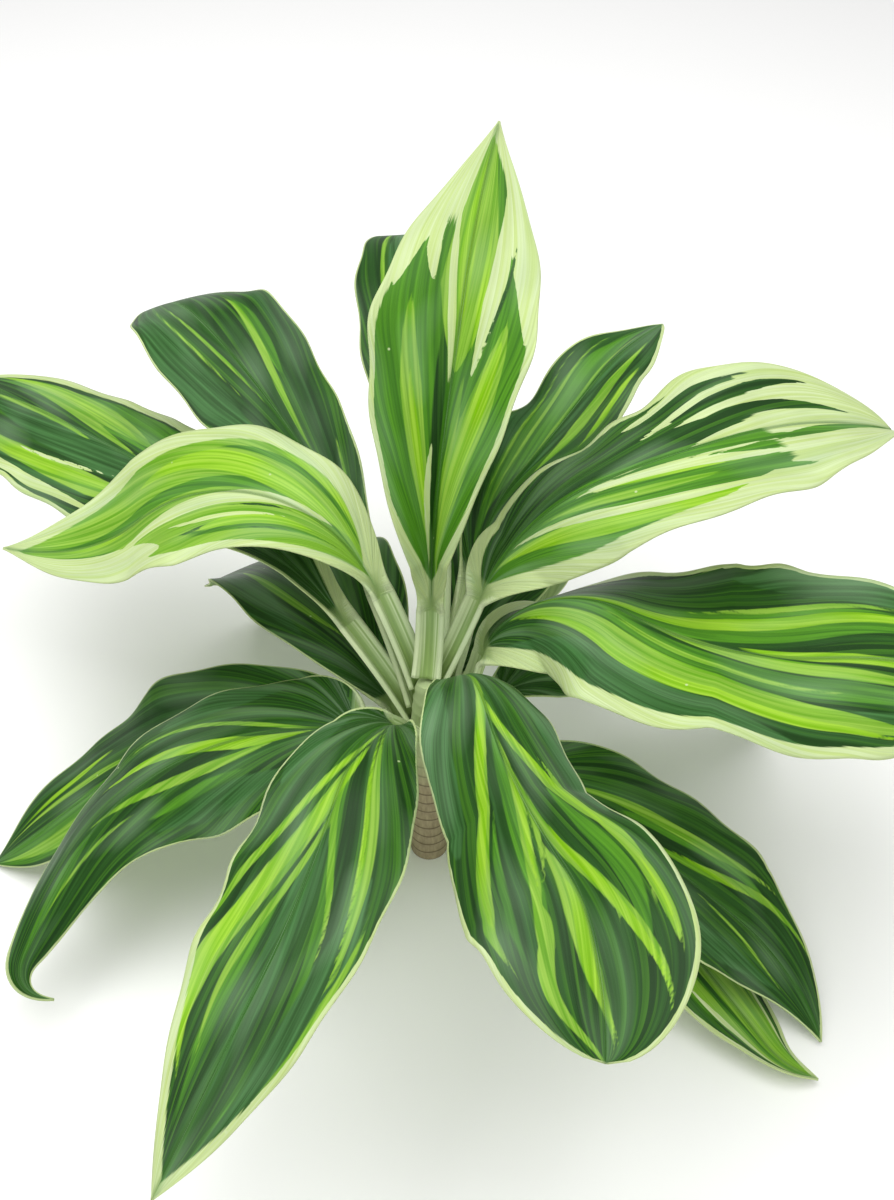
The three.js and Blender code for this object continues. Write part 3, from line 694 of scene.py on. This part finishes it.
def cross_section(leaf, length, share, half, across, stalk):
    """How far beside and above the midrib each point of the upper face lies."""
    out = np.abs(across)
    lift = np.radians(np.interp(share, SECTION_SHARES, leaf["lift"]))
    curl = np.radians(np.interp(share, SECTION_SHARES, leaf["curl"]))
    bend = curl * out / 2
    chord = half * out * np.sinc(bend / math.pi)

    height, count, start_left, start_right = leaf["wave"]
    start = np.where(across > 0, start_left, start_right)
    belly = np.sin(math.pi * share).clip(0)
    swing = height * np.sqrt(belly) * out ** WAVE_POWER
    wave = swing * np.sin(2 * math.pi * (count * share + start))

    groove = -GROOVE_DEPTH * np.exp(-(half * out / GROOVE_HALF_WIDTH) ** 2)
    groove = groove * (1 - share ** 2)
    channel = STALK_CHANNEL * stalk * out ** 2

    turns = length / RIPPLE_LENGTH
    frill = belly * out ** RIPPLE_POWER
    drift = np.sin(2 * math.pi * (RIPPLE_DRIFT_PACE * turns + start))
    uneven = 1 - RIPPLE_DRIFT + RIPPLE_DRIFT * drift
    ripple = (RIPPLE_HEIGHT * frill * uneven
              * np.sin(2 * math.pi * (turns + RIPPLE_START * start)))
    drawn = np.sin(2 * math.pi * (PINCH_PACE * turns + PINCH_START * start)) ** 2
    pinch = 1 - RIPPLE_PINCH * frill * drawn

    side = np.sign(across) * chord * np.cos(lift + bend) * pinch
    rise = chord * np.sin(lift + bend) + wave + groove + ripple + channel
    return side, rise


def vein_place(leaf, share, across, from_rib, stalk):
    """Which vein each point lies on, in millimetres beside the midrib."""
    side = np.sign(across)
    spread = 1 - np.exp(-np.maximum(share, VEIN_START) / VEIN_SPREAD)
    fanned = np.minimum(np.abs(across) / spread, VEIN_LIMIT)
    vein = side * (fanned - VEIN_LEAN * share + VEIN_OFFSET)
    straight = stalk ** STALK_STRAIGHT
    return vein * leaf["width"] / 2 * (1 - straight) + side * from_rib * straight


def leaf_grid(leaf):
    """The upper face as rows of points, with what the pattern needs to know of each."""
    total = leaf["petiole"] + leaf["blade"]
    length = total * np.linspace(0, 1, ROWS_ALONG + 1)
    share = np.clip((length - leaf["petiole"]) / leaf["blade"], 0, 1)
    tangent, heading = midrib_direction(leaf, length)
    level = np.stack([-np.sin(heading), np.cos(heading), 0 * heading], axis=-1)
    roll = np.radians(np.interp(share, ROLL_SHARES, leaf["roll"]))
    left, up = turn_about(roll, level, np.cross(tangent, level))
    midrib = grow_midrib(leaf, length)
    half = half_width(leaf, length, share)[:, None]
    length = length[:, None]
    share = share[:, None]

    step = np.linspace(1, -1, COLUMNS_ACROSS + 1)
    across = (np.sign(step) * np.abs(step) ** COLUMN_CROWDING)[None, :]
    from_rib = half * np.abs(across)
    stalk = np.clip(1 - share / STALK_FADE, 0, 1)
    side, rise = cross_section(leaf, length, share, half, across, stalk)
    points = midrib[:, None] + left[:, None] * side[..., None] + up[:, None] * rise[..., None]
    rib = RIB_THICKNESS * np.sqrt(1 - share) * np.exp(-(from_rib / RIB_HALF_WIDTH) ** 2)
    thick = BLADE_THICKNESS + np.maximum((PETIOLE_THICKNESS - BLADE_THICKNESS) * stalk, rib)
    shape = points.shape[:2]
    return {
        "points": points,
        "share": np.broadcast_to(share, shape),
        "across": np.broadcast_to(across, shape),
        "half": np.broadcast_to(half, shape),
        "edge": half - from_rib,
        "rib": from_rib,
        "thick": np.broadcast_to(thick, shape),
        "vein": vein_place(leaf, share, across, from_rib, stalk),
        "along": np.broadcast_to(length, shape),
        "stalk": np.broadcast_to(stalk * (length < leaf["petiole"] * STALK_COLOUR_END), shape),
    }


def stripe_field(leaf, grid, stripe):
    """How far inside a stripe each point lies, in millimetres."""
    _, width, *stations = stripe
    centres, at = np.array(stations).T
    share = grid["share"]
    start = at.min()
    end = at.max()
    fitted = np.polyfit(at, centres, min(len(at) - 1, STRIPE_BENDS))
    centre = np.polyval(fitted, np.clip(share, start, end))
    before = (share - start) / (end - start) + (start <= OPEN_BASE)
    after = (end - share) / (end - start) + (end >= OPEN_TIP)
    inside = np.minimum(before, after)
    beyond = inside * (end - start) * leaf["blade"] * STRIPE_POINT
    off = np.abs(grid["across"] - centre)
    if width > BLUNT_WIDTH:
        return np.minimum((width / 2 - off) * grid["half"], beyond)
    taper = np.clip(inside / STRIPE_TAPER, 0, 1) ** STRIPE_SWELL
    aside = (width / 2 * taper - off) * grid["half"]
    return aside + np.minimum(beyond, 0)


def pattern_fields(leaf, grid):
    """How far inside each tone every point lies. A dark stripe cuts those listed before it."""
    shape = grid["share"].shape
    fields = {tone: np.full(shape, -FIELD_LIMIT) for tone in TONES}
    for stripe in leaf["stripes"]:
        field = stripe_field(leaf, grid, stripe)
        if stripe[0] == "dark":
            for tone in TONES:
                fields[tone] = np.minimum(fields[tone], -field)
        else:
            fields[stripe[0]] = np.maximum(fields[stripe[0]], field)
    margin_left, margin_right = leaf["margins"]
    for side, margin in ((1, margin_left), (-1, margin_right)):
        wide = np.interp(grid["share"], MARGIN_SHARES, margin)
        depth = wide - grid["edge"]
        own = np.sign(grid["across"]) == side
        strength = np.where(wide > MARGIN_BROAD, MARGIN_RAGGED, 1)
        fields["cream"] = np.where(own, np.maximum(fields["cream"], depth * strength),
                                   fields["cream"])
    return {tone: np.clip(field, -FIELD_LIMIT, FIELD_LIMIT) for tone, field in fields.items()}


def vein_noises(tree):
    """The noises, drawn out along the veins, each at its own place so that no two agree."""
    chart = node(tree, "ShaderNodeUVMap", uv_map="veins")
    noises = {}
    for turn, (key, (across, along, detail)) in enumerate(VEIN_NOISES.items()):
        shift = tuple(step * turn for step in NOISE_STEP)
        spot = node(tree, "ShaderNodeVectorMath",
                    {0: chart, 1: (1 / across, 1 / along, 0), 2: shift},
                    operation="MULTIPLY_ADD")
        noises[key] = node(tree, "ShaderNodeTexNoise",
                           {"Vector": spot, "Scale": 1, "Detail": detail}, "Fac")
    return noises


def striped_colour(tree, colours, noises, fields):
    """The dark ground, the bands that follow the veins, and the stripes that lie on them."""
    layers = [(noises["band"], *GROUND_RANGE, "dark", "deep", None)]
    for key, tone, low, high in VEIN_BANDS:
        cover = node(tree, "ShaderNodeMapRange", {"Value": noises[key], "From Min": low,
                                                  "From Max": high, "To Max": BAND_STRENGTH})
        layers.append((noises["shade"], *SHADE_RANGE, tone, tone + " pale", cover))
    for tone, (reach, soft) in TONES.items():
        jag = "wide jag" if reach > WIDE_REACH else "fine jag"
        inside = node(tree, "ShaderNodeMath", {0: noises[jag], 1: 2 * reach, 2: fields[tone]},
                      operation="MULTIPLY_ADD")
        cover = node(tree, "ShaderNodeMapRange", {"Value": inside, "From Min": reach - soft,
                                                  "From Max": reach + soft})
        layers.append((noises["shade"], *SHADE_RANGE, tone, tone + " pale", cover))
    colour = None
    for amount, low, high, first, second, cover in layers:
        share = node(tree, "ShaderNodeMapRange", {"Value": amount, "From Min": low,
                                                  "From Max": high})
        own = node(tree, "ShaderNodeMix",
                   {"Factor": share, "A": linear(colours[first]), "B": linear(colours[second])},
                   "Result", data_type="RGBA")
        colour = own if cover is None else node(
            tree, "ShaderNodeMix", {"Factor": cover, "A": colour, "B": own}, "Result",
            data_type="RGBA")
    return colour


def leaf_material(name, colours, roughness, shine, relief):
    material, tree, shader = new_material(name)
    noises = vein_noises(tree)
    fields = {key: node(tree, "ShaderNodeAttribute", out="Fac", attribute_name=key)
              for key in (*TONES, "edge", "rib", "stalk")}
    overlays = []

    # A line of its own colour runs over the midrib, and a thin pale one round the edge.
    for key, tone, line in (("rib", "rib", RIB_LINE), ("edge", "trim", MARGIN_LINE)):
        near, far, strength = line
        cover = node(tree, "ShaderNodeMapRange",
                     {"Value": fields[key], "From Min": near, "From Max": far,
                      "To Min": strength, "To Max": 0})
        overlays.append((cover, linear(colours[tone])))

    # The petiole is streaked along its length, green in its channel and pale at its edges.
    channel = node(tree, "ShaderNodeMath",
                   {0: noises["stalk"], 1: STALK_STREAKS, 2: fields["edge"]},
                   operation="MULTIPLY_ADD")
    channel = node(tree, "ShaderNodeMapRange", {"Value": channel, "From Min": STALK_PALE_EDGE,
                                                "From Max": STALK_GREEN_FROM})
    stalk = node(tree, "ShaderNodeMix",
                 {"Factor": channel, "A": linear(colours["stalk edge"]),
                  "B": linear(colours["stalk"])},
                 "Result", data_type="RGBA")
    overlays.append((fields["stalk"], stalk))

    # A few pale flecks lie scattered over the tissue.
    where = node(tree, "ShaderNodeTexCoord", out="Object")
    spacing = node(tree, "ShaderNodeTexVoronoi",
                   {"Vector": where, "Scale": 1 / (FLECK_SPACING * MM)}, "Distance")
    fleck = node(tree, "ShaderNodeMapRange",
                 {"Value": spacing, "From Min": FLECK_SIZE / FLECK_SPACING,
                  "From Max": 2 * FLECK_SIZE / FLECK_SPACING, "To Min": FLECK_STRENGTH,
                  "To Max": 0})
    overlays.append((fleck, linear(colours["cream pale"])))

    # Painted sheen: soft whitish patches in the colour stand in for the satin reflection.
    painted_sheen = node(tree, "ShaderNodeMapRange",
                {"Value": noises["painted sheen"], "From Min": PAINTED_SHEEN_RANGE[0],
                 "From Max": PAINTED_SHEEN_RANGE[1], "To Max": PAINTED_SHEEN_STRENGTH})
    overlays.append((painted_sheen, linear(colours["painted sheen"])))

    colour = striped_colour(tree, colours, noises, fields)
    for cover, over in overlays:
        colour = node(tree, "ShaderNodeMix", {"Factor": cover, "A": colour, "B": over},
                      "Result", data_type="RGBA")
    # The fine veins and larger blotches make it a little darker and lighter.
    for key, (low, high) in LIGHT_SWINGS.items():
        light = node(tree, "ShaderNodeMapRange",
                     {"Value": noises[key], "From Min": LIGHT_RANGE[0],
                      "From Max": LIGHT_RANGE[1], "To Min": low, "To Max": high})
        colour = node(tree, "ShaderNodeVectorMath", {0: colour, "Scale": light},
                      operation="SCALE")
    tree.links.new(colour, shader.inputs["Base Color"])
    shader.inputs["Roughness"].default_value = roughness
    shader.inputs["Specular IOR Level"].default_value = shine
    shader.inputs["IOR"].default_value = LEAF_IOR

    # The sheen breaks on low puckers between the veins, and on the fine veins over them.
    puckers = node(tree, "ShaderNodeBump", {"Height": noises["pucker"], "Strength": relief,
                                            "Distance": PUCKER_RELIEF * MM})
    veins = node(tree, "ShaderNodeBump", {"Height": noises["fibre"], "Strength": relief,
                                          "Distance": VEIN_RELIEF * MM, "Normal": puckers})
    tree.links.new(veins, shader.inputs["Normal"])
    return material


# The upper face looks satin: deep green, crossed by smooth bands of yellower and of bluer green
# that run with the veins, the bluer ones partly painted sheen, under a soft sheen that breaks on
# the fine veins.
LEAF_UPPER = leaf_material("ti leaf, satin upper face", UPPER_COLOURS,
                           roughness=0.42, shine=0.3, relief=0.5)
# The underside looks matt and pale, as the same bands seen through a whitish skin.
LEAF_UNDER = leaf_material("ti leaf, matt underside", UNDER_COLOURS,
                           roughness=0.6, shine=0.25, relief=0.6)


def build_leaf(leaf):
    """A grid laid over the leaf's upper face, marked with its pattern and thickened below."""
    bpy.ops.object.select_all(action="DESELECT")
    bpy.ops.mesh.primitive_grid_add(
        x_subdivisions=COLUMNS_ACROSS, y_subdivisions=ROWS_ALONG, size=1)
    blade = bpy.context.object
    blade.name = leaf["name"] + "_blade"
    mesh = blade.data
    grid = leaf_grid(leaf)
    flat = np.empty(len(mesh.vertices) * 3)
    mesh.vertices.foreach_get("co", flat)
    flat = flat.reshape(-1, 3)
    column = np.rint((flat[:, 0] + 0.5) * COLUMNS_ACROSS).astype(int)
    row = np.rint((flat[:, 1] + 0.5) * ROWS_ALONG).astype(int)
    mesh.vertices.foreach_set("co", place(grid["points"][row, column]).ravel())

    values = pattern_fields(leaf, grid)
    values.update({key: grid[key] for key in ("edge", "rib", "stalk")})
    for key, value in values.items():
        attribute = mesh.attributes.new(key, "FLOAT", "POINT")
        attribute.data.foreach_set("value", value[row, column].astype(np.float32))
    corners = np.empty(len(mesh.loops), dtype=int)
    mesh.loops.foreach_get("vertex_index", corners)
    veins = mesh.uv_layers[0]
    veins.name = "veins"
    chart = np.stack([grid["vein"][row, column][corners], grid["along"][row, column][corners]],
                     axis=-1)
    veins.data.foreach_set("uv", chart.astype(np.float32).ravel())

    group = blade.vertex_groups.new(name="thickness")
    weights = grid["thick"][row, column] / PETIOLE_THICKNESS
    for index, weight in enumerate(weights):
        group.add([index], float(weight), "REPLACE")
    mesh.update()
    mesh.materials.append(LEAF_UPPER)
    mesh.materials.append(LEAF_UNDER)
    solid = blade.modifiers.new("thickness", "SOLIDIFY")
    solid.thickness = PETIOLE_THICKNESS * MM
    solid.offset = -1
    solid.vertex_group = "thickness"
    solid.material_offset = 1
    solid.material_offset_rim = 0
    bpy.ops.object.modifier_apply(modifier="thickness")
    blade.vertex_groups.clear()
    bpy.ops.object.shade_smooth()
    return blade


for row in LEAVES:
    leaf = {**USUAL_LEAF, **row}
    blade = build_leaf(leaf)
    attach(blade, "root")
    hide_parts(leaf["name"])


# The floor is a plain pale sheet of matt paper, lit softly from above and a little from the
# front, as in a photographer's white tent.
FLOOR_SIZE = 12.0
FLOOR_COLOUR = "fbfbfa"
FLOOR_ROUGHNESS = 0.9
TENT_COLOUR = "ffffff"
TENT_STRENGTH = 0.52
LIGHT_AIM = (0, 0, 0.15)

bpy.ops.object.select_all(action="DESELECT")
bpy.ops.mesh.primitive_plane_add(size=FLOOR_SIZE, location=(0, 0, 0))
floor = bpy.context.object
floor.name = "floor"
# Matt paper looks evenly pale and takes soft shadows.
floor_material, _, floor_shader = new_material("pale paper sweep")
floor_shader.inputs["Base Color"].default_value = linear(FLOOR_COLOUR)
floor_shader.inputs["Roughness"].default_value = FLOOR_ROUGHNESS
floor.data.materials.append(floor_material)

scene = bpy.context.scene
world = scene.world or bpy.data.worlds.new("studio")
scene.world = world
world.use_nodes = True
tent = world.node_tree.nodes["Background"]
tent.inputs["Color"].default_value = linear(TENT_COLOUR)
tent.inputs["Strength"].default_value = TENT_STRENGTH
scene.view_settings.view_transform = "Standard"


def soft_light(name, position, size, power):
    """A square soft light, in metres and watts, that faces the plant."""
    data = bpy.data.lights.new(name, "AREA")
    data.shape = "SQUARE"
    data.size = size
    data.energy = power
    lamp = bpy.data.objects.new(name, data)
    lamp.location = position
    facing = Vector(LIGHT_AIM) - Vector(position)
    lamp.rotation_euler = facing.to_track_quat("-Z", "Y").to_euler()
    scene.collection.objects.link(lamp)


soft_light("overhead softbox", position=(-0.3, 0.1, 2.0), size=2.0, power=40)
soft_light("front fill", position=(0.9, -1.4, 1.3), size=1.6, power=7)


# The camera looks down on the plant at 45 degrees from its front, which is judged to be the
# photograph's angle. It aims a little right of the cane and up the picture from the crown.
CAMERA_ELEVATION = 45
CAMERA_DISTANCE = 800
CAMERA_LENS = 40
CAMERA_SENSOR = 36
AIM_RIGHT = 12
AIM_HEIGHT = 150
AIM_UP_PICTURE = 60

lens = bpy.data.cameras.new("photo view")
lens.lens = CAMERA_LENS
lens.sensor_width = CAMERA_SENSOR
lens.sensor_fit = "AUTO"
camera = bpy.data.objects.new("photo view", lens)
elevation = math.radians(CAMERA_ELEVATION)
aim = Vector(place((AIM_RIGHT, AIM_UP_PICTURE * math.sin(elevation),
                    AIM_HEIGHT + AIM_UP_PICTURE * math.cos(elevation))))
camera.location = aim + Vector((0, -math.cos(elevation), math.sin(elevation))) * (
    CAMERA_DISTANCE * MM)
camera.rotation_euler = (aim - camera.location).to_track_quat("-Z", "Y").to_euler()
scene.collection.objects.link(camera)
bpy.context.scene.camera = camera
